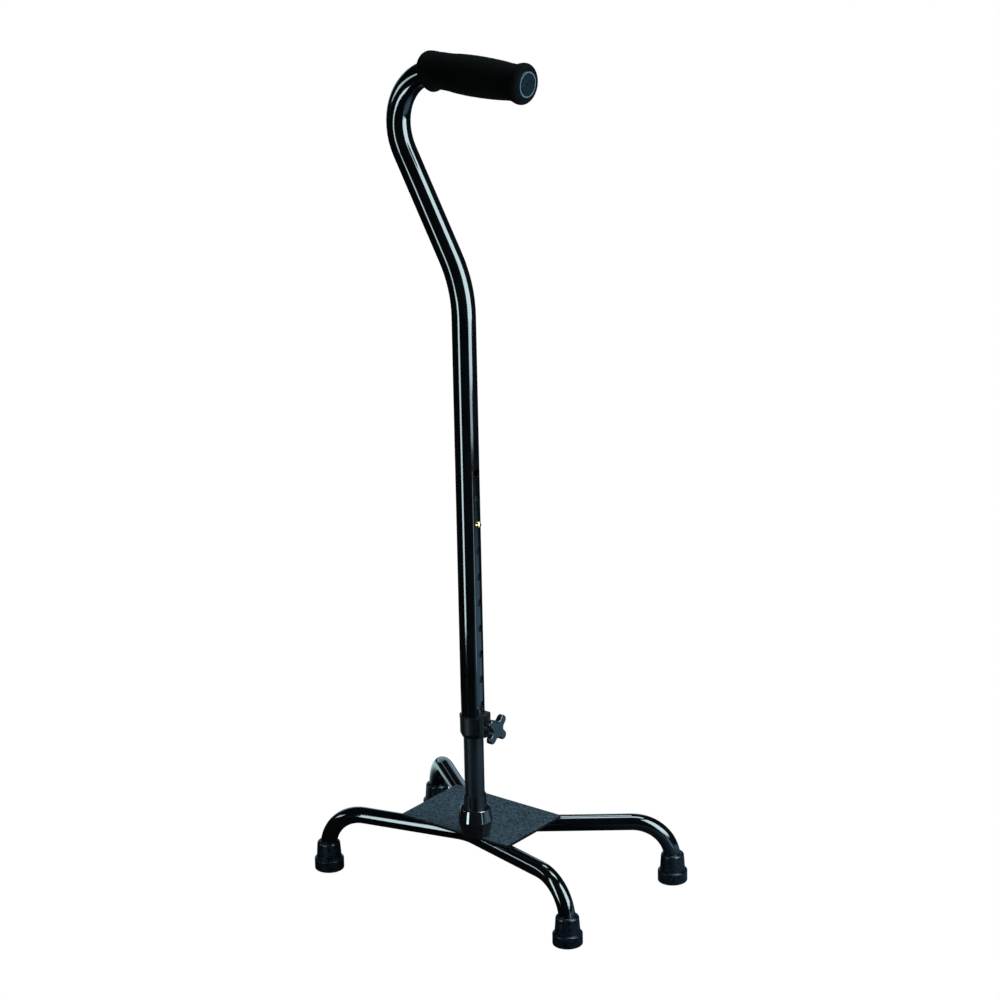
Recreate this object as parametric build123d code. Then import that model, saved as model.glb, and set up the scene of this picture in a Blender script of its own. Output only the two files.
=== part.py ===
from build123d import *

import os
from math import cos, pi, radians, sin, tan

# Quad walking cane: a four-legged base, a two-piece telescoping pole and an offset handle.
# Row frame, in millimetres: the origin is the centre of the footprint on the floor, +Z is up,
# +X is the way the handle points, +Y is away from the user.

# ---------------------------------------------------------------- driving dimensions
FIT_GAP = 0.02              # gap left between two pieces that are pressed or welded together
RUN_GAP = 0.05              # radial gap of a piece that slides or turns on another

FOOT_HALF_X = 143.7         # tip centres, from the middle of the base
FOOT_HALF_Y = 84.2
LEG_OD = 15.9               # 5/8 inch steel tube
LEG_WALL = 1.5
FRONT_VERTEX_Y = -48.5      # where the straight runs of each V would meet
REAR_VERTEX_Y = -25.2
VERTEX_BEND_R = 45.0
DOWN_BEND_R = 39.0

PLATE_HALF_X = 63.4
PLATE_FRONT_Y = -69.5
PLATE_BACK_Y = 15.4
PLATE_THICKNESS = 3.0
PLATE_TOP_Z = 72.3
PLATE_CORNER_R = 2.0
PLATE_EDGE_R = 0.8

TIP_HEIGHT = 28.8
TIP_FLANGE_R = 14.2
TIP_FLANGE_HEIGHT = 11.0
TIP_BODY_R = 12.1
TIP_TOP_R = 10.9
TIP_SHOULDER = 1.0          # rise of the step from the flange in to the body
TIP_SOLE_EDGE_R = 1.0
TIP_FLANGE_EDGE_R = 0.8
TIP_TOP_EDGE_R = 2.6
TIP_FLOOR = 5.0
TREAD_RADII = (5.0, 8.5, 11.5)
TREAD_WIDTH = 1.2
TREAD_DEPTH = 1.2
WASHER_THICKNESS = 1.5
WASHER_R = 7.4
WASHER_HOLE_R = 3.0

POLE_X = 22.6               # the pole stands off-centre, close to the plate's front edge
POLE_Y = -64.8
LOWER_OD = 18.8             # lower pole tube, nominal 3/4 inch
LOWER_WALL = 1.6
LOWER_TOP_Z = 426.6
HANDLE_OD = 22.2            # handle tube, 7/8 inch
HANDLE_WALL = 1.5
HANDLE_BOTTOM_Z = 180.8

HOLE_PITCH = 25.4           # one inch between adjusting holes
HOLE_COUNT = 10
HOLE_R = 3.5
BUTTON_HOLE = 2             # the button stands in the third hole from the top
BUTTON_Z = 384.0
BUTTON_R = 3.1
BUTTON_REACH = 13.6         # tip of the button, from the pole's axis
BUTTON_ROOT = 6.9
BUTTON_CLEARANCE = 0.25
BUTTON_NOSE_R = 2.17
SPRING_WIDTH = 6.0
SPRING_THICKNESS = 0.8
SPRING_DROP = 52.0          # from the button down to the bend of the V
SPRING_FAR_X = 6.6          # the strip's corners stay off the tube's round bore
SPRING_KNEE_DROP = 8.0      # from the button down to where the front leaf turns upright
SPRING_TAIL = 6.0           # leaf above the button's axis
SPRING_BEND_R = 2.2
SPRING_KNEE_R = 4.0

DOGLEG_Z = 609.1            # corner of the dog-leg, before rounding
DOGLEG_R = 110.0
DOGLEG_LEAN = 28.56         # degrees from vertical
CROOK_R = 53.6
GRIP_Z = 803.9
HANDLE_END_X = 74.5

GRIP_END_X = 76.6
GRIP_BACK_ANGLE = 20.5      # how far the foam follows the crook, in degrees
GRIP_BEAD_ANGLE = 11.0      # where its rear bead starts
GRIP_BEAD_R = 18.3
GRIP_WAIST_R = 16.7
GRIP_BULGE_X = 25.0
GRIP_BULGE_R = 18.2
GRIP_FRONT_WAIST_X = 61.0
GRIP_FLANGE_START_X = 68.5
GRIP_FLANGE_END_X = 73.5
GRIP_FLANGE_R = 18.5
GRIP_FACE_R = 14.5
CAP_RING_R = 11.5
CAP_RING_WIDTH = 1.3
CAP_STANDOUT = 2.6          # end face, from the end of the handle tube
CAP_DISH = 0.6
CAP_DIMPLE_R = 1.0
CAP_DIMPLE_DEPTH = 0.8
CAP_PLUG_LENGTH = 14.0
CAP_PLUG_WALL = 1.6

CUP_R = 12.2
CUP_HEIGHT = 13.0
CUP_FLOOR = 1.6
RIVET_R = 2.3
RIVET_HEIGHT = 7.5          # above the plate
BOOT_HEIGHT = 27.9
BOOT_WIDEST = 15.5          # height of the widest ring above the plate
BOOT_R = 16.5
BOOT_TOP_R = 14.0
BOOT_FOOT_R = 12.9
BOOT_FOOT_FLARE = 0.5       # the foot's short, steeper cone
BOOT_FOOT_HEIGHT = 2.0
BOOT_TOP_EDGE_R = 1.2
BOOT_WAIST_EDGE_R = 3.0
COLLET_TOP_Z = 113.6
COLLET_TOP_R = 10.45
COLLET_BASE_R = 11.6
COLLET_COLLAR_HEIGHT = 1.5  # straight part under the cone
COLLET_SLOT_WIDTH = 7.0
COLLET_SLOT_COUNT = 4
COLLET_SLOT_TURN = 28.0     # direction of the first slot, in degrees from -Y towards +X

COLLAR_TOP_Z = 194.0
COLLAR_BOTTOM_Z = 173.1
COLLAR_CONE_Z = 177.2
COLLAR_R = 12.4
COLLAR_RIM = 0.3            # the lip stands out this far
COLLAR_LIP_HEIGHT = 2.0
COLLAR_FOOT_R = 10.6
BLOCK_REACH = 17.6          # the nut block is a narrow rib on the collar's front
BLOCK_HALF_WIDTH = 5.0
BLOCK_BOTTOM_Z = 175.6
BLOCK_TOP_Z = 199.0
BLOCK_SIDE_EDGE_R = 1.5
BLOCK_TOP_EDGE_R = 1.2
BUSHING_Z = 176.0
BUSHING_OUTER_R = 10.9
BUSHING_SPLIT = 1.6

KNOB_Z = 185.2
STUD_R = 2.5                # M5
STUD_CLEARANCE = 0.3
STUD_EMBED = 3.0            # stud length held in the knob's head
NUT_ACROSS_FLATS = 8.0
NUT_THICKNESS = 2.2
NUT_SET_BACK = 0.1          # the nut lies just under the block's face
PAD_R = 2.4
PAD_LENGTH = 1.9
HUB_START = 19.2
HUB_R = 7.6
HUB_FLUTES = 10
HUB_FLUTE_R = 1.5
KNOB_BACK = 24.8
KNOB_THICKNESS = 5.2
KNOB_EDGE_R = 1.3
STAR_CORE_R = 7.9
LOBE_REACH = 15.2
LOBE_R = 4.3
LOBE_COUNT = 4
LOBE_START = 45.0           # direction of the first arm, in degrees
LOBE_VALLEY_R = 3.4

leg_z = PLATE_TOP_Z - PLATE_THICKNESS - LEG_OD / 2
pole_place = Location((POLE_X, POLE_Y, 0))
x_plane = Plane.YZ          # sketches drawn here are pushed out along +X


def tube(path, radius):
    """A solid round bar of the given radius along a path."""
    start = Plane(origin=path @ 0, z_dir=path % 0)
    return sweep(start * Circle(radius), path=path)


def disc(radius, low, high):
    """A plain round bar about the Z axis, from low to high."""
    return Pos(0, 0, low) * Cylinder(radius, high - low, align=(Align.CENTER, Align.CENTER, Align.MIN))


def ring(outer, inner, low, high):
    """A plain round sleeve about the Z axis, from low to high."""
    return disc(outer, low, high) - disc(inner, low - 1, high + 1)


def bar_x(radius, start, end, z=0.0):
    """A round bar parallel to the X axis, from start to end, at height z."""
    return Pos(0, 0, z) * extrude(x_plane.offset(start) * Circle(radius), amount=end - start)


def turned(points):
    """A solid of revolution about Z from (radius, height) corners."""
    profile = Polyline(*[(r, 0, z) for r, z in points], close=True)
    return revolve(make_face(profile), axis=Axis.Z)


def rims_at(body, height):
    """The round edges of a body that lie at a height."""
    rims = body.edges().filter_by(GeomType.CIRCLE)
    return rims.filter_by(lambda rim: abs(rim.center().Z - height) < FIT_GAP / 2)


# ---------------------------------------------------------------- base
def leg_path(vertex_y, foot_y):
    """Centreline of one V-shaped leg tube, from tip to tip."""
    end_z = TIP_FLOOR + WASHER_THICKNESS + 2 * FIT_GAP
    corners = [
        (-FOOT_HALF_X, foot_y, end_z),
        (-FOOT_HALF_X, foot_y, leg_z),
        (0, vertex_y, leg_z),
        (FOOT_HALF_X, foot_y, leg_z),
        (FOOT_HALF_X, foot_y, end_z),
    ]
    return FilletPolyline(*corners, radius=(DOWN_BEND_R, VERTEX_BEND_R, DOWN_BEND_R))


def leg_tube(vertex_y, foot_y):
    path = leg_path(vertex_y, foot_y)
    return tube(path, LEG_OD / 2) - tube(path, LEG_OD / 2 - LEG_WALL)


def base_plate():
    length = 2 * PLATE_HALF_X
    width = PLATE_BACK_Y - PLATE_FRONT_Y
    outline = RectangleRounded(length, width, PLATE_CORNER_R)
    middle_y = (PLATE_BACK_Y + PLATE_FRONT_Y) / 2
    low = PLATE_TOP_Z - PLATE_THICKNESS + FIT_GAP
    plate = Pos(0, middle_y, low) * extrude(outline, amount=PLATE_THICKNESS - FIT_GAP)
    top = plate.faces().sort_by(Axis.Z)[-1]
    return fillet(top.edges(), PLATE_EDGE_R)


def tip_body():
    """A foot tip about the Z axis, before the leg's bore is cut."""
    body = turned(
        [
            (0, 0),
            (TIP_FLANGE_R, 0),
            (TIP_FLANGE_R, TIP_FLANGE_HEIGHT),
            (TIP_BODY_R, TIP_FLANGE_HEIGHT + TIP_SHOULDER),
            (TIP_TOP_R, TIP_HEIGHT),
            (0, TIP_HEIGHT),
        ]
    )
    body = fillet(rims_at(body, 0), TIP_SOLE_EDGE_R)
    body = fillet(rims_at(body, TIP_HEIGHT), TIP_TOP_EDGE_R)
    body = fillet(rims_at(body, TIP_FLANGE_HEIGHT), TIP_FLANGE_EDGE_R)
    for radius in TREAD_RADII:
        body -= ring(radius + TREAD_WIDTH / 2, radius - TREAD_WIDTH / 2, -1, TREAD_DEPTH)
    return body


def foot_tip(foot_x, foot_y, leg_bar):
    """A rubber tip on one leg's end, with a pocket for its washer."""
    pocket_top = TIP_FLOOR + WASHER_THICKNESS + 5 * FIT_GAP
    tip = tip_body() - disc(WASHER_R + FIT_GAP, TIP_FLOOR, pocket_top)
    return Pos(foot_x, foot_y, 0) * tip - leg_bar


def tip_washers():
    washer = ring(WASHER_R, WASHER_HOLE_R, TIP_FLOOR + FIT_GAP, TIP_FLOOR + WASHER_THICKNESS)
    places = [(x, y) for x in (-FOOT_HALF_X, FOOT_HALF_X) for y in (-FOOT_HALF_Y, FOOT_HALF_Y)]
    return Compound(children=[Pos(x, y, 0) * washer for x, y in places])


# ---------------------------------------------------------------- socket at the foot of the pole
cup_low = PLATE_TOP_Z + FIT_GAP
cup_top = PLATE_TOP_Z + CUP_HEIGHT
lower_bottom = cup_low + CUP_FLOOR + FIT_GAP
rivet_z = PLATE_TOP_Z + RIVET_HEIGHT


def rivet_bar(radius):
    """The cross rivet's shank, parallel to Y."""
    return Pos(0, CUP_R, rivet_z) * Rot(90, 0, 0) * Cylinder(
        radius, 2 * CUP_R, align=(Align.CENTER, Align.CENTER, Align.MIN)
    )


def socket_cup():
    cup = ring(CUP_R, LOWER_OD / 2 + FIT_GAP, cup_low, cup_top)
    cup += disc(CUP_R, cup_low, cup_low + CUP_FLOOR)
    return cup - rivet_bar(RIVET_R + FIT_GAP)


def socket_rivet():
    return rivet_bar(RIVET_R) & disc(CUP_R, cup_low, cup_top)


def socket_collet():
    """Nylon sleeve round the lower tube: a slotted cone that stands out of the boot."""
    low = cup_top + FIT_GAP
    cone_low = low + COLLET_COLLAR_HEIGHT
    bore_r = LOWER_OD / 2 + FIT_GAP
    sleeve = turned(
        [
            (bore_r, low),
            (COLLET_BASE_R, low),
            (COLLET_BASE_R, cone_low),
            (COLLET_TOP_R, COLLET_TOP_Z),
            (bore_r, COLLET_TOP_Z),
        ]
    )
    slot_bottom = PLATE_TOP_Z + BOOT_HEIGHT + 0.5
    half = COLLET_SLOT_WIDTH / 2
    slot_height = COLLET_TOP_Z - slot_bottom
    outline = Pos(0, slot_bottom + half) * Circle(half)
    outline += Pos(0, slot_bottom + half) * Rectangle(
        COLLET_SLOT_WIDTH, slot_height, align=(Align.CENTER, Align.MIN)
    )
    cutter = extrude(Plane.XZ * outline, amount=2 * COLLET_BASE_R)
    for k in range(COLLET_SLOT_COUNT):
        turn = COLLET_SLOT_TURN + 360.0 / COLLET_SLOT_COUNT * k
        sleeve -= Rot(0, 0, turn) * cutter
    return sleeve


def socket_boot():
    """Barrel-shaped boot over the cup and the collet's base: two cones that meet at its waistline."""
    low = PLATE_TOP_Z + 2 * FIT_GAP
    high = PLATE_TOP_Z + BOOT_HEIGHT
    widest = PLATE_TOP_Z + BOOT_WIDEST
    outline = [
        (CUP_R + FIT_GAP, low),
        (BOOT_FOOT_R, low),
        (BOOT_FOOT_R + BOOT_FOOT_FLARE, low + BOOT_FOOT_HEIGHT),
        (BOOT_R, widest),
        (BOOT_TOP_R, high),
        (COLLET_BASE_R + FIT_GAP, high),
        (COLLET_BASE_R + FIT_GAP, cup_top + FIT_GAP),
        (CUP_R + FIT_GAP, cup_top + FIT_GAP),
    ]
    boot = turned(outline)
    top_rim = rims_at(boot, high).sort_by(SortBy.RADIUS)[-1:]
    boot = fillet(top_rim, BOOT_TOP_EDGE_R)
    return fillet(rims_at(boot, widest), BOOT_WAIST_EDGE_R)


# ---------------------------------------------------------------- pole
def lower_tube():
    body = ring(LOWER_OD / 2, LOWER_OD / 2 - LOWER_WALL, lower_bottom, LOWER_TOP_Z)
    body -= rivet_bar(RIVET_R + FIT_GAP)
    return body - bar_x(BUTTON_R + BUTTON_CLEARANCE, 0, LOWER_OD, BUTTON_Z)


def snap_button():
    button = bar_x(BUTTON_R, BUTTON_ROOT, BUTTON_REACH, BUTTON_Z)
    nose = button.edges().filter_by(GeomType.CIRCLE).sort_by(Axis.X)[-1:]
    return fillet(nose, BUTTON_NOSE_R)


def snap_spring():
    """Leaf spring folded to a V, with one leg behind the button and one on the far wall."""
    knee_z = BUTTON_Z - SPRING_KNEE_DROP
    front = BUTTON_ROOT - FIT_GAP - SPRING_THICKNESS / 2
    path = FilletPolyline(
        (-SPRING_FAR_X, 0, knee_z),
        (0, 0, BUTTON_Z - SPRING_DROP),
        (front, 0, knee_z),
        (front, 0, BUTTON_Z + SPRING_TAIL),
        radius=(SPRING_BEND_R, SPRING_KNEE_R),
    )
    start = Plane(origin=path @ 0, x_dir=(0, 1, 0), z_dir=path % 0)
    return sweep(start * Rectangle(SPRING_WIDTH, SPRING_THICKNESS), path=path)


def crook_corner_x():
    """X of the corner where the leaning run and the grip's centreline would meet."""
    return -(GRIP_Z - DOGLEG_Z) * tan(radians(DOGLEG_LEAN))


def handle_path():
    corners = [
        (0, 0, HANDLE_BOTTOM_Z),
        (0, 0, DOGLEG_Z),
        (crook_corner_x(), 0, GRIP_Z),
        (HANDLE_END_X, 0, GRIP_Z),
    ]
    return FilletPolyline(*corners, radius=(DOGLEG_R, CROOK_R))


def crook_end_x():
    """X where the crook's arc runs out into the straight grip."""
    half_turn = radians(90 + DOGLEG_LEAN) / 2
    return crook_corner_x() + CROOK_R * tan(half_turn)


def crook_point(angle):
    """Point on the crook's centreline, so many degrees back from the straight grip."""
    turn = radians(angle)
    return (crook_end_x() - CROOK_R * sin(turn), 0, GRIP_Z - CROOK_R * (1 - cos(turn)))


def handle_tube():
    path = handle_path()
    body = tube(path, HANDLE_OD / 2) - tube(path, HANDLE_OD / 2 - HANDLE_WALL)
    top_hole_z = BUTTON_Z + BUTTON_HOLE * HOLE_PITCH
    for k in range(HOLE_COUNT):
        body -= bar_x(HOLE_R, -HANDLE_OD, HANDLE_OD, top_hole_z - k * HOLE_PITCH)
    return body - bar_x(STUD_R + STUD_CLEARANCE, 0, HANDLE_OD, KNOB_Z)


def crook_bar(radius, start_angle, end_angle):
    """A round bar along part of the crook, between two angles back from the straight grip."""
    middle_angle = (start_angle + end_angle) / 2
    points = [crook_point(angle) for angle in (start_angle, middle_angle, end_angle)]
    return tube(ThreePointArc(*points), radius)


def foam_grip():
    """Foam grip as a plain solid of the right size, bored for the handle tube."""
    back_x = crook_end_x()
    outline = [
        (0, back_x),
        (GRIP_WAIST_R, back_x),
        (GRIP_BULGE_R, GRIP_BULGE_X),
        (GRIP_WAIST_R, GRIP_FRONT_WAIST_X),
        (GRIP_FLANGE_R, GRIP_FLANGE_START_X),
        (GRIP_FLANGE_R, GRIP_FLANGE_END_X),
        (GRIP_FACE_R, GRIP_END_X),
        (0, GRIP_END_X),
    ]
    profile = Polyline(*[(x, 0, GRIP_Z + r) for r, x in outline], close=True)
    grip = revolve(make_face(profile), axis=Axis((0, 0, GRIP_Z), (1, 0, 0)))
    grip += crook_bar(GRIP_WAIST_R, 0, GRIP_BACK_ANGLE)
    grip += crook_bar(GRIP_BEAD_R, GRIP_BEAD_ANGLE, GRIP_BACK_ANGLE)
    grip -= tube(handle_path(), HANDLE_OD / 2 + FIT_GAP)
    return grip - bar_x(CAP_RING_R + FIT_GAP, HANDLE_END_X - 1, GRIP_END_X + 1, GRIP_Z)


def grip_end_cap():
    """Plug in the handle tube's end, with a raised rim round a dished face."""
    plug_r = HANDLE_OD / 2 - HANDLE_WALL - FIT_GAP
    plug_start = HANDLE_END_X - CAP_PLUG_LENGTH
    face_x = HANDLE_END_X + CAP_STANDOUT
    dish_x = face_x - CAP_DISH
    cap = bar_x(CAP_RING_R, HANDLE_END_X + FIT_GAP, face_x, GRIP_Z)
    cap += bar_x(plug_r, plug_start, HANDLE_END_X + 1, GRIP_Z)
    cap -= bar_x(plug_r - CAP_PLUG_WALL, plug_start - 1, HANDLE_END_X - 1, GRIP_Z)
    cap -= bar_x(CAP_RING_R - CAP_RING_WIDTH, dish_x, face_x + 1, GRIP_Z)
    return cap - bar_x(CAP_DIMPLE_R, dish_x - CAP_DIMPLE_DEPTH, face_x, GRIP_Z)


# ---------------------------------------------------------------- clamp collar and knob
nut_start = BLOCK_REACH - NUT_THICKNESS - NUT_SET_BACK


def nut_blank(inner_r, start, end):
    """A hexagonal bar along X round the stud, with two flats upright."""
    hexagon = RegularPolygon(inner_r, 6, major_radius=False, rotation=30)
    return Pos(0, 0, KNOB_Z) * extrude(x_plane.offset(start) * hexagon, amount=end - start)


def clamp_collar():
    """Sleeve round the foot of the handle tube, with a rib that holds the knob's nut."""
    lip_z = COLLAR_TOP_Z - COLLAR_LIP_HEIGHT
    sleeve = turned(
        [
            (0, COLLAR_BOTTOM_Z),
            (COLLAR_FOOT_R, COLLAR_BOTTOM_Z),
            (COLLAR_R, COLLAR_CONE_Z),
            (COLLAR_R, lip_z - COLLAR_RIM),
            (COLLAR_R + COLLAR_RIM, lip_z),
            (COLLAR_R + COLLAR_RIM, COLLAR_TOP_Z),
            (0, COLLAR_TOP_Z),
        ]
    )
    block = Pos(0, 0, BLOCK_BOTTOM_Z) * Box(
        BLOCK_REACH,
        2 * BLOCK_HALF_WIDTH,
        BLOCK_TOP_Z - BLOCK_BOTTOM_Z,
        align=(Align.MIN, Align.CENTER, Align.MIN),
    )
    block = fillet(block.edges().filter_by(Axis.Z).sort_by(Axis.X)[-2:], BLOCK_SIDE_EDGE_R)
    top = block.faces().sort_by(Axis.Z)[-1]
    block = fillet(top.edges().sort_by(Axis.X)[-1:], BLOCK_TOP_EDGE_R)
    collar = sleeve + block
    collar -= disc(HANDLE_OD / 2 + FIT_GAP, HANDLE_BOTTOM_Z - FIT_GAP, BLOCK_TOP_Z + 1)
    collar -= disc(BUSHING_OUTER_R + RUN_GAP, BUSHING_Z - RUN_GAP, HANDLE_BOTTOM_Z)
    collar -= disc(LOWER_OD / 2 + 3 * RUN_GAP, COLLAR_BOTTOM_Z - 1, BUSHING_Z)
    collar -= bar_x(STUD_R + STUD_CLEARANCE, 0, BLOCK_REACH + 1, KNOB_Z)
    return collar - nut_blank(NUT_ACROSS_FLATS / 2 + FIT_GAP, nut_start - FIT_GAP, BLOCK_REACH + 1)


def collar_nut():
    blank = nut_blank(NUT_ACROSS_FLATS / 2, nut_start, nut_start + NUT_THICKNESS)
    return blank - bar_x(STUD_R + RUN_GAP, 0, BLOCK_REACH + 1, KNOB_Z)


def tube_bushing():
    """Nylon ring, split on one side, between the lower tube and the collar."""
    top = HANDLE_BOTTOM_Z - 2 * RUN_GAP
    body = ring(BUSHING_OUTER_R, LOWER_OD / 2 + RUN_GAP, BUSHING_Z, top)
    split = Pos(-BUSHING_OUTER_R, 0, (BUSHING_Z + top) / 2) * Box(
        BUSHING_OUTER_R, BUSHING_SPLIT, 2 * (top - BUSHING_Z)
    )
    return body - split


def pressure_pad():
    """Nylon pad on the stud's nose, hollowed to the lower tube's radius."""
    pad = bar_x(PAD_R, LOWER_OD / 2 - 1, LOWER_OD / 2 + PAD_LENGTH, KNOB_Z)
    return pad - disc(LOWER_OD / 2 + RUN_GAP, KNOB_Z - 2 * PAD_R, KNOB_Z + 2 * PAD_R)


def knob_stud():
    start = LOWER_OD / 2 + PAD_LENGTH + RUN_GAP
    return bar_x(STUD_R, start, KNOB_BACK + STUD_EMBED, KNOB_Z)


def star_outline():
    """Four rounded arms on a round middle, with rounded valleys between them."""
    outline = Circle(STAR_CORE_R)
    arm_length = LOBE_REACH - LOBE_R
    arm = Pos(arm_length / 2, 0) * SlotCenterToCenter(arm_length, 2 * LOBE_R)
    for k in range(LOBE_COUNT):
        outline += Rot(0, 0, LOBE_START + 360.0 / LOBE_COUNT * k) * arm
    corners = outline.vertices().filter_by(
        lambda corner: abs(Vector(corner.X, corner.Y).length - STAR_CORE_R) < 0.3
    )
    return fillet(corners, LOBE_VALLEY_R)


def star_knob():
    """Four-lobed head on a fluted hub, moulded over the stud."""
    head = extrude(x_plane.offset(KNOB_BACK) * star_outline(), amount=KNOB_THICKNESS)
    front = head.faces().sort_by(Axis.X)[-1]
    head = fillet(front.edges(), KNOB_EDGE_R)
    hub_plane = x_plane.offset(HUB_START)
    hub = extrude(hub_plane * Circle(HUB_R), amount=KNOB_BACK - HUB_START + 1)
    for k in range(HUB_FLUTES):
        angle = 2 * pi / HUB_FLUTES * k
        flute = Pos(HUB_R * cos(angle), HUB_R * sin(angle)) * Circle(HUB_FLUTE_R)
        hub -= extrude(hub_plane * flute, amount=KNOB_BACK - HUB_START)
    knob = Pos(0, 0, KNOB_Z) * (head + hub)
    return knob - bar_x(STUD_R + FIT_GAP, 0, KNOB_BACK + STUD_EMBED + FIT_GAP, KNOB_Z)


# ---------------------------------------------------------------- write every piece
front_bar = tube(leg_path(FRONT_VERTEX_Y, -FOOT_HALF_Y), LEG_OD / 2 + FIT_GAP)
rear_bar = tube(leg_path(REAR_VERTEX_Y, FOOT_HALF_Y), LEG_OD / 2 + FIT_GAP)

pieces = {
    "base_plate": base_plate(),
    "front_leg_tube": leg_tube(FRONT_VERTEX_Y, -FOOT_HALF_Y),
    "rear_leg_tube": leg_tube(REAR_VERTEX_Y, FOOT_HALF_Y),
    "foot_tip_front_left": foot_tip(-FOOT_HALF_X, -FOOT_HALF_Y, front_bar),
    "foot_tip_front_right": foot_tip(FOOT_HALF_X, -FOOT_HALF_Y, front_bar),
    "foot_tip_rear_left": foot_tip(-FOOT_HALF_X, FOOT_HALF_Y, rear_bar),
    "foot_tip_rear_right": foot_tip(FOOT_HALF_X, FOOT_HALF_Y, rear_bar),
    "tip_washers": tip_washers(),
}

pole_pieces = {
    "socket_cup": socket_cup(),
    "socket_rivet": socket_rivet(),
    "socket_collet": socket_collet(),
    "socket_boot": socket_boot(),
    "lower_tube": lower_tube(),
    "snap_button": snap_button(),
    "snap_spring": snap_spring(),
    "handle_tube": handle_tube(),
    "foam_grip": foam_grip(),
    "grip_end_cap": grip_end_cap(),
    "clamp_collar": clamp_collar(),
    "collar_nut": collar_nut(),
    "tube_bushing": tube_bushing(),
    "pressure_pad": pressure_pad(),
    "knob_stud": knob_stud(),
    "star_knob": star_knob(),
}
for name, shape in pole_pieces.items():
    pieces[name] = pole_place * shape

os.makedirs("parts", exist_ok=True)
for name, shape in pieces.items():
    export_step(shape, f"parts/{name}.step")
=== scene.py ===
from math import cos, pi, radians, sin

import bmesh
import bpy
from mathutils import Matrix, Vector, noise


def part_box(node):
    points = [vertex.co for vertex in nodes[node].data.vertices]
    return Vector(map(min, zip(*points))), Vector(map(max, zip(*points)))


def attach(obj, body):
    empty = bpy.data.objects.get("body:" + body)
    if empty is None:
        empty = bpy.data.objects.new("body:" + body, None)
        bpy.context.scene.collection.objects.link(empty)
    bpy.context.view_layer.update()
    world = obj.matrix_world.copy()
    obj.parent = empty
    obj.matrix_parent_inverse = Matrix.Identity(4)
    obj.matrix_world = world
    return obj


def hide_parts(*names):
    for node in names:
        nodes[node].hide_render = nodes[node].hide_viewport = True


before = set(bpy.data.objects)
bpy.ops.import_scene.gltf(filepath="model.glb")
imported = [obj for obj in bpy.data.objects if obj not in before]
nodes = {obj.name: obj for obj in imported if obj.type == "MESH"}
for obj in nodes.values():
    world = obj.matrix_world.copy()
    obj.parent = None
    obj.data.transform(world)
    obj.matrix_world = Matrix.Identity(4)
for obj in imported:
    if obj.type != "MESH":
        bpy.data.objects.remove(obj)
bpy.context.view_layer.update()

# ---------------------------------------------------------------- driving values, in metres and degrees
MM = 0.001

VIEW_AZIMUTH = 37.98        # camera, round from looking along +Y
VIEW_ELEVATION = 19.63
VIEW_ROLL = 1.17
VIEW_DISTANCE = 3.6375
VIEW_LENS = 140.67          # mm
VIEW_SENSOR = 36            # mm
VIEW_CLIP_END = 100
VIEW_AIM = (0.00564, 0.0044, 0.38195)

TUBE_R = 11.1 * MM          # handle tube
CROOK_R = 53.6 * MM         # bend radius of the handle's crook
CAP_RING_START = 10.1 * MM  # inner radius of the end cap's raised ring, where its painted highlight starts
CAP_RING_BLEND = 0.4 * MM
TIP_DUST_HEIGHT = 7 * MM    # dust on the rubber fades out up to here

GRIP_SEGMENTS = 144
GRIP_STEPS = 7              # rings between two corners of the grip's outline
GRIP_BORE_RINGS = 13
GRIP_BORE_GAP = 0.06 * MM   # between the tube and the foam
GRIP_ROUGHNESS = 0.10 * MM  # depth of the foam's unevenness
GRIP_LUMPS = 2.2 * MM       # size of that unevenness
# The grip's outline from its rear end to its front: millimetres along the centreline from the end of
# the crook, and radius there.
GRIP_OUTLINE = [
    (-18.4, 11.4), (-19.2, 12.8), (-18.3, 15.4), (-14.7, 18.4), (-10.2, 17.8), (-6.0, 16.8),
    (-1.0, 16.6), (4.0, 16.6), (10.0, 16.9), (17.0, 17.6), (28.5, 18.1), (40.5, 18.2), (52.5, 17.9),
    (62.5, 17.4), (72.0, 16.6), (76.5, 16.3), (80.5, 16.7), (84.0, 17.9), (87.2, 18.5), (90.0, 17.7),
    (91.8, 15.8), (92.4, 14.0), (92.0, 12.6), (90.8, 11.8),
]

FLOOR_SIZE = 60
FLOOR_GAP = 0.4 * MM        # the floor lies this far under the tips
# Glowing patches painted on the floor, seen in reflections only: azimuth and distance of each patch from
# the pole, the radii between which its glow fades out, and its colour.
FLOOR_GLOW_PATCHES = [
    (112, 0.68, 0.20, 0.60, (0.52, 1.05, 1.50)),
    (-119, 0.39, 0.03, 0.18, (1.00, 1.45, 1.50)),
]

STUDIO_BLUE = (0.80, 0.90, 1.0)
PALE_CYAN = (0.72, 0.94, 1.0)
SLATE_BLUE = (0.55, 0.82, 1.0)
ROOM_GLOW = 0.015
# Soft boxes that stand upright round the pole: name, azimuth and distance from the pole, lowest and
# highest point, width, radiance and colour.
STANDING_BOXES = [
    ("left_strip", -13.5, 0.76, -0.02, 0.45, 0.19, 17, PALE_CYAN),
    ("left_strip_top", -13.5, 0.76, 0.45, 0.72, 0.12, 16, PALE_CYAN),
    ("left_low_box", -52, 1.9, 0.52, 0.80, 0.75, 10, PALE_CYAN),
    ("backdrop", -132, 3.0, -0.15, 1.25, 2.7, 1.2, SLATE_BLUE),
    ("right_box", 98, 0.95, 0.28, 1.60, 0.68, 18, PALE_CYAN),
    ("right_skirt", 95, 0.95, 0.21, 0.28, 0.50, 15, PALE_CYAN),
    ("right_skirt_foot", 88, 0.95, 0.14, 0.21, 0.30, 8, PALE_CYAN),
    ("right_low_strip", 85, 0.95, -0.14, 0.10, 0.08, 5, PALE_CYAN),
]
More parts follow.
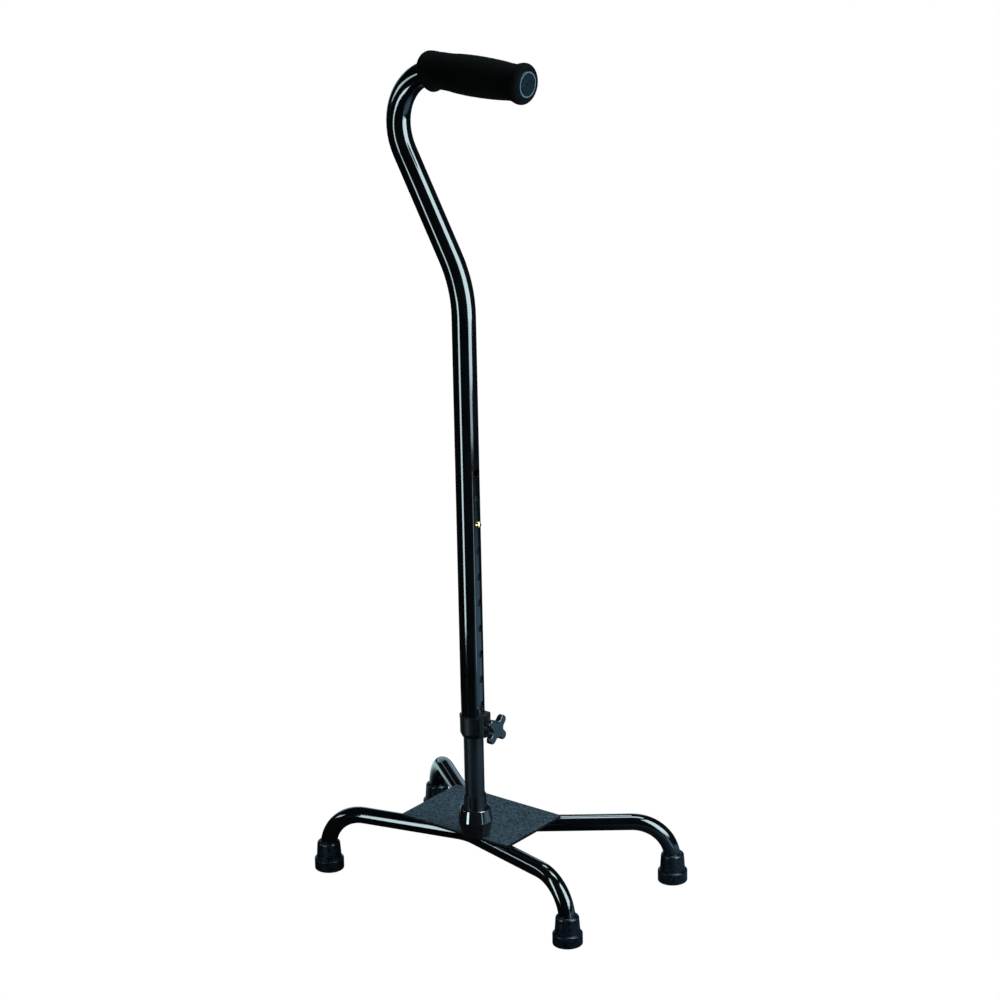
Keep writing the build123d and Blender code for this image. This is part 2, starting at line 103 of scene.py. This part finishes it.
# Soft boxes that shine straight down: name, distance to the right of the pole and behind it as the
# camera sees it, width, depth, radiance and colour.
HANGING_BOXES = [
    ("overhead_right", 0.50, 0.20, 0.85, 0.60, 15, PALE_CYAN),
    ("overhead_back", 0.0, 1.25, 0.5, 0.45, 15, PALE_CYAN),
]
HANGING_Z = 2.0


# ---------------------------------------------------------------- material helpers
class Shader:
    """A node material with a Principled surface, built with short calls."""

    def __init__(self, name):
        """A new material of that name, its Principled node and object coordinates."""
        self.material = bpy.data.materials.new(name)
        self.material.use_nodes = True
        self.tree = self.material.node_tree
        self.surface = self.tree.nodes["Principled BSDF"]
        self.place = self.add("ShaderNodeTexCoord").outputs["Object"]

    def add(self, kind, **values):
        """A node with the given properties or input values; _ stands for a space in an input's name."""
        node = self.tree.nodes.new(kind)
        for key, value in values.items():
            if hasattr(node, key):
                setattr(node, key, value)
            else:
                node.inputs[key.replace("_", " ")].default_value = value
        return node

    def link(self, source, target):
        """Joins an output to an input."""
        self.tree.links.new(source, target)

    def set(self, **values):
        """Plain values for inputs of the Principled node."""
        for key, value in values.items():
            self.surface.inputs[key.replace("_", " ")].default_value = value

    def noise(self, size, detail=3.0, roughness=0.5, stretch=(1, 1, 1)):
        """Noise whose blobs are about size metres across."""
        mapping = self.add("ShaderNodeMapping")
        mapping.inputs["Scale"].default_value = [s / size for s in stretch]
        self.link(self.place, mapping.inputs["Vector"])
        node = self.add("ShaderNodeTexNoise", Scale=1.0, Detail=detail, Roughness=roughness)
        self.link(mapping.outputs["Vector"], node.inputs["Vector"])
        return node.outputs["Fac"]

    def cells(self, size):
        """Rounded cells about size metres across."""
        node = self.add("ShaderNodeTexVoronoi", Scale=1.0 / size)
        self.link(self.place, node.inputs["Vector"])
        return node.outputs["Distance"]

    def ramp(self, source, low, high, start=0.0, end=1.0):
        """A number or a colour from low to high as the source goes from start to end."""
        node = self.add("ShaderNodeMapRange", clamp=True)
        for key, value in (("From Min", start), ("From Max", end)):
            node.inputs[key].default_value = value
        self.link(source, node.inputs["Value"])
        if isinstance(low, (int, float)):
            node.inputs["To Min"].default_value = low
            node.inputs["To Max"].default_value = high
            return node.outputs["Result"]
        mix = self.add("ShaderNodeMix", data_type="RGBA")
        self.link(node.outputs["Result"], mix.inputs["Factor"])
        mix.inputs["A"].default_value = (*low, 1)
        mix.inputs["B"].default_value = (*high, 1)
        return mix.outputs["Result"]

    def mix(self, factor, a, b):
        """Colours a and b mixed by a factor; each may be a socket or a colour."""
        node = self.add("ShaderNodeMix", data_type="RGBA")
        self.link(factor, node.inputs["Factor"])
        for key, value in (("A", a), ("B", b)):
            if isinstance(value, tuple):
                node.inputs[key].default_value = (*value, 1)
            else:
                self.link(value, node.inputs[key])
        return node.outputs["Result"]

    def edges(self, radius, start=0.02, end=0.25):
        """A mask that is 1 on the rims of a piece, where they are painted paler, and 0 elsewhere."""
        bevel = self.add("ShaderNodeBevel", samples=4, Radius=radius)
        geometry = self.add("ShaderNodeNewGeometry")
        dot = self.add("ShaderNodeVectorMath", operation="DOT_PRODUCT")
        self.link(bevel.outputs["Normal"], dot.inputs[0])
        self.link(geometry.outputs["Normal"], dot.inputs[1])
        return self.ramp(dot.outputs["Value"], 1.0, 0.0, 1.0 - end, 1.0 - start)

    def facing_sideways(self):
        """A mask that is 1 on faces that stand upright or look down, and 0 on faces that look up; painted
        shade goes where it is 1.
        """
        split = self.add("ShaderNodeSeparateXYZ")
        self.link(self.add("ShaderNodeNewGeometry").outputs["True Normal"], split.inputs[0])
        return self.ramp(split.outputs["Z"], 1.0, 0.0, 0.3, 0.8)

    def bump(self, height, depth, previous=None):
        """Bump of the given depth in metres, on top of a previous one if there is one."""
        node = self.add("ShaderNodeBump", Strength=1.0, Distance=depth)
        self.link(height, node.inputs["Height"])
        if previous is not None:
            self.link(previous, node.inputs["Normal"])
        return node.outputs["Normal"]

    def drive(self, name, source):
        """Feeds an input of the Principled node from an output."""
        self.link(source, self.surface.inputs[name])


def gloss_paint():
    """Stoved gloss black enamel: cloudy depth, a faint orange peel and hairline scuffs."""
    m = Shader("gloss_black_enamel")
    m.set(IOR=1.5)
    patches = m.noise(30 * MM, 2)
    m.drive("Base Color", m.ramp(patches, (0.0004, 0.0005, 0.0007), (0.0012, 0.0014, 0.0018), 0.3, 0.7))
    scuffs = m.noise(1.4 * MM, 4, 0.6, (1, 1, 0.12))
    m.drive("Roughness", m.ramp(scuffs, 0.07, 0.15, 0.45, 0.85))
    peel = m.noise(2.2 * MM, 2)
    m.drive("Normal", m.bump(peel, 0.003 * MM))
    return m.material


def satin_paint():
    """Satin black enamel of the lower tube, rubbed by the sliding handle tube."""
    m = Shader("satin_black_enamel")
    m.set(IOR=1.5, Specular_IOR_Level=0.25)
    rub = m.noise(6 * MM, 4, 0.6, (1, 1, 0.06))
    m.drive("Base Color", m.ramp(rub, (0.0010, 0.0016, 0.0026), (0.0028, 0.0040, 0.0058), 0.35, 0.8))
    m.drive("Roughness", m.ramp(rub, 0.30, 0.42, 0.3, 0.8))
    m.drive("Normal", m.bump(m.noise(0.9 * MM, 3), 0.008 * MM))
    return m.material


def powder_coat():
    """Textured powder coat of the plate and cup: speckled on top, with painted shade making its sides and
    underside black and a painted highlight making the rim of its top paler.
    """
    m = Shader("textured_powder_coat")
    m.set(IOR=1.3)
    fine = m.noise(1.7 * MM, 4, 0.65)
    broad = m.noise(26 * MM, 3)
    speckle = m.ramp(fine, (0.0020, 0.0042, 0.0070), (0.0225, 0.0340, 0.0450), 0.40, 0.60)
    shade = m.ramp(fine, (0.0042, 0.0074, 0.0108), (0.0175, 0.0270, 0.0360), 0.40, 0.60)
    body = m.mix(m.ramp(broad, 0.0, 1.0, 0.35, 0.65), shade, speckle)
    # Painted shade: faces that stand upright or look down are coloured near-black.
    upright = m.facing_sideways()
    # Painted highlight: the rim of the top is coloured paler.
    paler_rims = m.mix(m.edges(0.5 * MM), body, (0.0300, 0.0430, 0.0500))
    m.drive("Base Color", m.mix(upright, paler_rims, (0.0007, 0.0011, 0.0016)))
    m.drive("Specular IOR Level", m.ramp(fine, 0.05, 0.40, 0.40, 0.60))
    m.drive("Roughness", m.ramp(fine, 0.40, 0.60, 0.3, 0.7))
    grain = m.bump(m.noise(0.55 * MM, 2), 0.035 * MM)
    m.drive("Normal", m.bump(m.cells(1.3 * MM), 0.05 * MM, grain))
    return m.material


def tip_rubber():
    """Moulded rubber: satin, slightly dusty low down, with a fine moulding grain."""
    m = Shader("moulded_tip_rubber")
    m.set(IOR=1.45, Specular_IOR_Level=0.25)
    cloud = m.noise(3.4 * MM, 5, 0.65)
    body = m.ramp(cloud, (0.0003, 0.0006, 0.0012), (0.0028, 0.0052, 0.0090), 0.38, 0.66)
    height = m.add("ShaderNodeSeparateXYZ")
    m.link(m.place, height.inputs[0])
    dust = m.ramp(height.outputs["Z"], 0.5, 0.0, 0.0, TIP_DUST_HEIGHT)
    m.drive("Base Color", m.mix(dust, body, (0.0018, 0.0025, 0.0036)))
    m.drive("Roughness", m.ramp(cloud, 0.22, 0.34, 0.3, 0.7))
    grain = m.bump(m.noise(0.35 * MM, 2), 0.012 * MM)
    m.drive("Normal", m.bump(m.noise(3.5 * MM, 2), 0.02 * MM, grain))
    return m.material


def gloss_plastic():
    """Polished moulded plastic of the boot, with faint handling scratches."""
    m = Shader("polished_boot_plastic")
    m.set(IOR=1.5, Coat_Weight=0.5, Coat_Roughness=0.04)
    scratch = m.noise(0.8 * MM, 4, 0.7, (1, 1, 0.2))
    m.drive("Base Color", m.ramp(scratch, (0.002, 0.002, 0.0024), (0.005, 0.005, 0.006), 0.4, 0.8))
    m.drive("Roughness", m.ramp(scratch, 0.09, 0.2, 0.5, 0.85))
    m.drive("Normal", m.bump(m.noise(5 * MM, 2), 0.03 * MM))
    return m.material


def black_nylon(name, dark, pale, roughness, gloss, waves):
    """Glass-filled nylon, with a swirl of flow marks, paler rims and gentle waves in its skin."""
    m = Shader(name)
    m.set(IOR=1.5, Specular_IOR_Level=gloss)
    flow = m.noise(4 * MM, 5, 0.6, (1, 1, 0.4))
    body = m.ramp(flow, dark, pale, 0.35, 0.75)
    paler_rims = tuple(2.2 * c for c in pale)
    m.drive("Base Color", m.mix(m.edges(0.35 * MM), body, paler_rims))
    m.drive("Roughness", m.ramp(flow, roughness, roughness + 0.12, 0.3, 0.7))
    grain = m.bump(m.noise(0.28 * MM, 3), 0.012 * MM)
    m.drive("Normal", m.bump(m.noise(2.5 * MM, 2), waves, grain))
    return m.material


def end_cap_plastic():
    """Slate-blue plastic of the end cap, with a painted highlight that makes its raised ring paler."""
    m = Shader("end_cap_plastic")
    m.set(IOR=1.4, Specular_IOR_Level=0.06)
    low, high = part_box("grip_end_cap")
    centre = (low + high) / 2
    reach = m.add("ShaderNodeVectorMath", operation="DISTANCE")
    flat = m.add("ShaderNodeVectorMath", operation="MULTIPLY")
    flat.inputs[1].default_value = (0, 1, 1)
    m.link(m.place, flat.inputs[0])
    m.link(flat.outputs["Vector"], reach.inputs[0])
    reach.inputs[1].default_value = (0, centre.y, centre.z)
    ring_edge = CAP_RING_START + CAP_RING_BLEND
    ring_highlight_mask = m.ramp(reach.outputs["Value"], 0.0, 1.0, CAP_RING_START, ring_edge)
    flow = m.noise(2.5 * MM, 4, 0.6)
    face = m.ramp(flow, (0.0006, 0.0016, 0.0028), (0.0022, 0.0046, 0.0074), 0.3, 0.75)
    # The ring's paler colour is a painted highlight.
    ring = m.ramp(flow, (0.018, 0.034, 0.042), (0.036, 0.062, 0.074), 0.3, 0.75)
    m.drive("Base Color", m.mix(ring_highlight_mask, face, ring))
    m.drive("Roughness", m.ramp(flow, 0.34, 0.50, 0.3, 0.7))
    m.drive("Normal", m.bump(m.noise(0.3 * MM, 3), 0.012 * MM))
    return m.material


def foam():
    """Closed-cell foam: matt near-black, with pin-head cells and a faint bloom."""
    m = Shader("closed_cell_foam")
    m.set(IOR=1.35, Specular_IOR_Level=0.05, Sheen_Weight=0.004, Sheen_Roughness=0.5)
    pores = m.cells(0.75 * MM)
    cloud = m.noise(2.4 * MM, 5, 0.7)
    body = m.ramp(cloud, (0.00005, 0.00005, 0.00008), (0.0016, 0.0014, 0.0014), 0.42, 0.64)
    m.drive("Base Color", m.mix(m.ramp(pores, 0.0, 0.4, 0.1, 0.6), body, (0.0005, 0.0005, 0.0006)))
    m.drive("Roughness", m.ramp(pores, 0.82, 0.95))
    cell_bump = m.bump(pores, 0.10 * MM)
    m.drive("Normal", m.bump(m.noise(0.4 * MM, 3), 0.05 * MM, cell_bump))
    return m.material


def metal(name, dark, pale, roughness, grain):
    """Plated or polished metal with fine drawn lines."""
    m = Shader(name)
    m.set(Metallic=1.0)
    lines = m.noise(grain, 3, 0.5, (1, 0.15, 1))
    m.drive("Base Color", m.ramp(lines, dark, pale, 0.3, 0.7))
    m.drive("Roughness", m.ramp(lines, roughness, roughness + 0.15, 0.3, 0.7))
    m.drive("Normal", m.bump(lines, 0.008 * MM))
    return m.material


def white_nylon():
    """Natural nylon of the bushing and the pad, slightly waxy."""
    m = Shader("natural_nylon")
    m.set(IOR=1.5, Subsurface_Weight=0.15, Subsurface_Scale=0.002)
    cloud = m.noise(3 * MM, 3)
    m.drive("Base Color", m.ramp(cloud, (0.60, 0.58, 0.52), (0.72, 0.71, 0.66), 0.3, 0.7))
    m.drive("Roughness", m.ramp(cloud, 0.35, 0.5))
    m.drive("Normal", m.bump(m.noise(0.4 * MM, 2), 0.01 * MM))
    return m.material


paint = gloss_paint()
satin = satin_paint()
coat = powder_coat()
rubber = tip_rubber()
boot_plastic = gloss_plastic()
collar_nylon = black_nylon(
    "satin_black_nylon",
    dark=(0.0007, 0.0010, 0.0017),
    pale=(0.0024, 0.0034, 0.0050),
    roughness=0.34,
    gloss=0.22,
    waves=0.02 * MM,
)
knob_nylon = black_nylon(
    "knob_black_nylon",
    dark=(0.0006, 0.0011, 0.0018),
    pale=(0.0036, 0.0066, 0.0100),
    roughness=0.17,
    gloss=0.40,
    waves=0.09 * MM,
)
cap_plastic = end_cap_plastic()
steel = metal("zinc_plated_steel", (0.42, 0.42, 0.43), (0.62, 0.62, 0.63), 0.28, 1.2 * MM)
brass = metal("polished_brass", (0.62, 0.42, 0.10), (0.86, 0.64, 0.22), 0.16, 0.8 * MM)
nylon = white_nylon()

# Every carried-over CAD node and its finish; the foam grip has its own mesh further down.
NODE_MATERIALS = {
    "base_plate": coat,
    "front_leg_tube": paint,
    "rear_leg_tube": paint,
    "foot_tip_front_left": rubber,
    "foot_tip_front_right": rubber,
    "foot_tip_rear_left": rubber,
    "foot_tip_rear_right": rubber,
    "tip_washers": steel,
    "socket_cup": coat,
    "socket_rivet": steel,
    "socket_collet": collar_nylon,
    "socket_boot": boot_plastic,
    "lower_tube": satin,
    "snap_button": brass,
    "snap_spring": steel,
    "handle_tube": paint,
    "grip_end_cap": cap_plastic,
    "clamp_collar": collar_nylon,
    "collar_nut": steel,
    "tube_bushing": nylon,
    "pressure_pad": nylon,
    "knob_stud": steel,
    "star_knob": knob_nylon,
}
for node_name, finish in NODE_MATERIALS.items():
    mesh = nodes[node_name].data
    mesh.materials.clear()
    mesh.materials.append(finish)


# ---------------------------------------------------------------- foam grip
def smooth_points(corners, steps):
    """Points on a Catmull-Rom curve through the corners, which are tuples of numbers."""
    ends = [corners[0]] + list(corners) + [corners[-1]]
    points = []
    for a, b, c, d in zip(ends, ends[1:], ends[2:], ends[3:]):
        for k in range(steps):
            t = k / steps
            weights = (
                (-t + 2 * t * t - t**3) / 2,
                (2 - 5 * t * t + 3 * t**3) / 2,
                (t + 4 * t * t - 3 * t**3) / 2,
                (-t * t + t**3) / 2,
            )
            point = tuple(sum(w * p[i] for w, p in zip(weights, (a, b, c, d))) for i in range(len(b)))
            points.append(point)
    points.append(corners[-1])
    return points


def grip_frame(along):
    """Centre and up axis of the grip's centreline, so far along from the crook's end."""
    cap_low, cap_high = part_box("grip_end_cap")
    tube_low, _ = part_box("handle_tube")
    middle_y = (cap_low.y + cap_high.y) / 2
    middle_z = (cap_low.z + cap_high.z) / 2
    crook_x = tube_low.x + TUBE_R + CROOK_R
    if along >= 0:
        return Vector((crook_x + along, middle_y, middle_z)), Vector((0, 0, 1))
    turn = -along / CROOK_R
    drop = CROOK_R * (1 - cos(turn))
    centre = Vector((crook_x - CROOK_R * sin(turn), middle_y, middle_z - drop))
    return centre, Vector((-sin(turn), 0, cos(turn)))


def grip_outwards(up):
    """Unit vectors round the grip's centreline, one for each segment."""
    side = Vector((0, 1, 0))
    angles = [2 * pi * k / GRIP_SEGMENTS for k in range(GRIP_SEGMENTS)]
    return [side * cos(angle) + up * sin(angle) for angle in angles]


def grip_skin_ring(bm, along, radius):
    """One ring of the grip's uneven skin."""
    centre, up = grip_frame(along)
    ring = []
    for outward in grip_outwards(up):
        point = centre + outward * radius
        depth = GRIP_ROUGHNESS * noise.fractal(point / GRIP_LUMPS, 0.6, 2.0, 3)
        ring.append(bm.verts.new(point + outward * depth))
    return ring


def grip_bore_ring(bm, along):
    """One ring of the grip's smooth bore."""
    centre, up = grip_frame(along)
    return [bm.verts.new(centre + outward * (TUBE_R + GRIP_BORE_GAP)) for outward in grip_outwards(up)]


def join_rings(bm, rings):
    """Faces between each ring and the next, and between the last one and the first."""
    for ring_a, ring_b in zip(rings, rings[1:] + rings[:1]):
        count = len(ring_a)
        for k in range(count):
            after = (k + 1) % count
            bm.faces.new((ring_a[k], ring_a[after], ring_b[after], ring_b[k]))


def foam_grip():
    """The grip: beads at both ends, waists beside them and a bulge in the middle."""
    bm = bmesh.new()
    outline = smooth_points(GRIP_OUTLINE, GRIP_STEPS)
    rings = [grip_skin_ring(bm, along * MM, radius * MM) for along, radius in outline]
    rear, front = GRIP_OUTLINE[0][0], GRIP_OUTLINE[-1][0]
    for step in range(GRIP_BORE_RINGS):
        along = front + (rear - front) * step / (GRIP_BORE_RINGS - 1)
        rings.append(grip_bore_ring(bm, along * MM))
    join_rings(bm, rings)
    bmesh.ops.recalc_face_normals(bm, faces=bm.faces)
    mesh = bpy.data.meshes.new("foam_handgrip")
    bm.to_mesh(mesh)
    bm.free()
    mesh.materials.append(foam())
    for polygon in mesh.polygons:
        polygon.use_smooth = True
    piece = bpy.data.objects.new("foam_handgrip", mesh)
    bpy.context.scene.collection.objects.link(piece)
    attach(piece, "handle")
    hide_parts("foam_grip")


foam_grip()


# ---------------------------------------------------------------- floor, light and camera
def direction(azimuth, elevation=0.0):
    """Unit vector from the object towards a place at that azimuth (0 is -Y, 90 is +X) and elevation."""
    a, e = radians(azimuth), radians(elevation)
    return Vector((sin(a) * cos(e), -cos(a) * cos(e), sin(e)))


def pole_axis():
    """Point on the pole's axis at floor level."""
    low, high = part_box("lower_tube")
    return Vector(((low.x + high.x) / 2, (low.y + high.y) / 2, 0))


def floor():
    """Plain pale floor. Reflections see only the glowing patches painted on it, which stand in for lit
    floor.
    """
    bpy.ops.mesh.primitive_plane_add(size=FLOOR_SIZE, location=(0, 0, -FLOOR_GAP))
    plane = bpy.context.object
    plane.name = "floor"
    material = bpy.data.materials.new("pale_floor")
    material.use_nodes = True
    tree = material.node_tree
    tree.nodes.clear()

    def add(kind):
        return tree.nodes.new(kind)

    place = add("ShaderNodeTexCoord").outputs["Object"]
    reflected = add("ShaderNodeBsdfTransparent").outputs[0]
    for azimuth, distance, inner, outer, colour in FLOOR_GLOW_PATCHES:
        reach = add("ShaderNodeVectorMath")
        reach.operation = "DISTANCE"
        reach.inputs[1].default_value = pole_axis() + direction(azimuth) * distance
        tree.links.new(place, reach.inputs[0])
        fade = add("ShaderNodeMapRange")
        fade.interpolation_type = "SMOOTHSTEP"
        for key, value in (("From Min", inner), ("From Max", outer), ("To Min", 1), ("To Max", 0)):
            fade.inputs[key].default_value = value
        tree.links.new(reach.outputs["Value"], fade.inputs["Value"])
        # Painted light: the patch glows, though no lamp lights it.
        patch = add("ShaderNodeEmission")
        patch.inputs["Color"].default_value = (*colour, 1)
        tree.links.new(fade.outputs["Result"], patch.inputs["Strength"])
        total = add("ShaderNodeAddShader")
        tree.links.new(reflected, total.inputs[0])
        tree.links.new(patch.outputs[0], total.inputs[1])
        reflected = total.outputs[0]
    choice = add("ShaderNodeMixShader")
    tree.links.new(add("ShaderNodeLightPath").outputs["Is Camera Ray"], choice.inputs[0])
    tree.links.new(reflected, choice.inputs[1])
    tree.links.new(add("ShaderNodeEmission").outputs[0], choice.inputs[2])
    tree.links.new(choice.outputs[0], add("ShaderNodeOutputMaterial").inputs["Surface"])
    plane.data.materials.append(material)


def studio_world():
    """White behind the object, and a nearly dark studio in its reflections."""
    world = bpy.data.worlds.new("studio")
    bpy.context.scene.world = world
    world.use_nodes = True
    tree = world.node_tree
    tree.nodes.clear()
    seen = tree.nodes.new("ShaderNodeLightPath").outputs["Is Camera Ray"]
    white = tree.nodes.new("ShaderNodeBackground")
    white.inputs["Color"].default_value = (1, 1, 1, 1)
    dim = tree.nodes.new("ShaderNodeBackground")
    dim.inputs["Color"].default_value = (*STUDIO_BLUE, 1)
    dim.inputs["Strength"].default_value = ROOM_GLOW
    choice = tree.nodes.new("ShaderNodeMixShader")
    tree.links.new(seen, choice.inputs[0])
    tree.links.new(dim.outputs[0], choice.inputs[1])
    tree.links.new(white.outputs[0], choice.inputs[2])
    output = tree.nodes.new("ShaderNodeOutputWorld")
    tree.links.new(choice.outputs[0], output.inputs["Surface"])


def soft_box(name, location, facing, width, height, radiance, colour):
    """A rectangular light whose face has the given radiance; facing is the way it shines."""
    light = bpy.data.lights.new(name, "AREA")
    light.shape = "RECTANGLE"
    light.size = width
    light.size_y = height
    light.energy = radiance * pi * width * height
    light.color = colour
    lamp = bpy.data.objects.new(name, light)
    lamp.location = location
    lamp.rotation_euler = facing.to_track_quat("-Z", "Y").to_euler()
    lamp.visible_camera = False
    bpy.context.scene.collection.objects.link(lamp)
    return lamp


def studio_lights():
    """Upright soft boxes round the pole and two hanging ones."""
    for name, azimuth, distance, low, high, width, radiance, colour in STANDING_BOXES:
        way = direction(azimuth)
        middle = pole_axis() + way * distance + Vector((0, 0, (low + high) / 2))
        soft_box(name, middle, -way, width, high - low, radiance, colour)
    for name, right, back, width, depth, radiance, colour in HANGING_BOXES:
        place = pole_axis() + direction(VIEW_AZIMUTH + 90) * right - direction(VIEW_AZIMUTH) * back
        place.z = HANGING_Z
        lamp = soft_box(name, place, Vector((0, 0, -1)), width, depth, radiance, colour)
        lamp.rotation_euler = (0, 0, radians(VIEW_AZIMUTH))


def camera():
    """The camera, aimed and rolled as given at the top."""
    data = bpy.data.cameras.new("camera")
    data.lens = VIEW_LENS
    data.sensor_width = VIEW_SENSOR
    data.clip_end = VIEW_CLIP_END
    view = bpy.data.objects.new("camera", data)
    back = direction(VIEW_AZIMUTH, VIEW_ELEVATION)
    view.location = Vector(VIEW_AIM) + back * VIEW_DISTANCE
    turn = (-back).to_track_quat("-Z", "Y").to_matrix()
    view.rotation_euler = (turn @ Matrix.Rotation(radians(-VIEW_ROLL), 3, "Z")).to_euler()
    bpy.context.scene.collection.objects.link(view)
    bpy.context.scene.camera = view


floor()
studio_world()
studio_lights()
camera()
bpy.context.scene.view_settings.view_transform = "Standard"
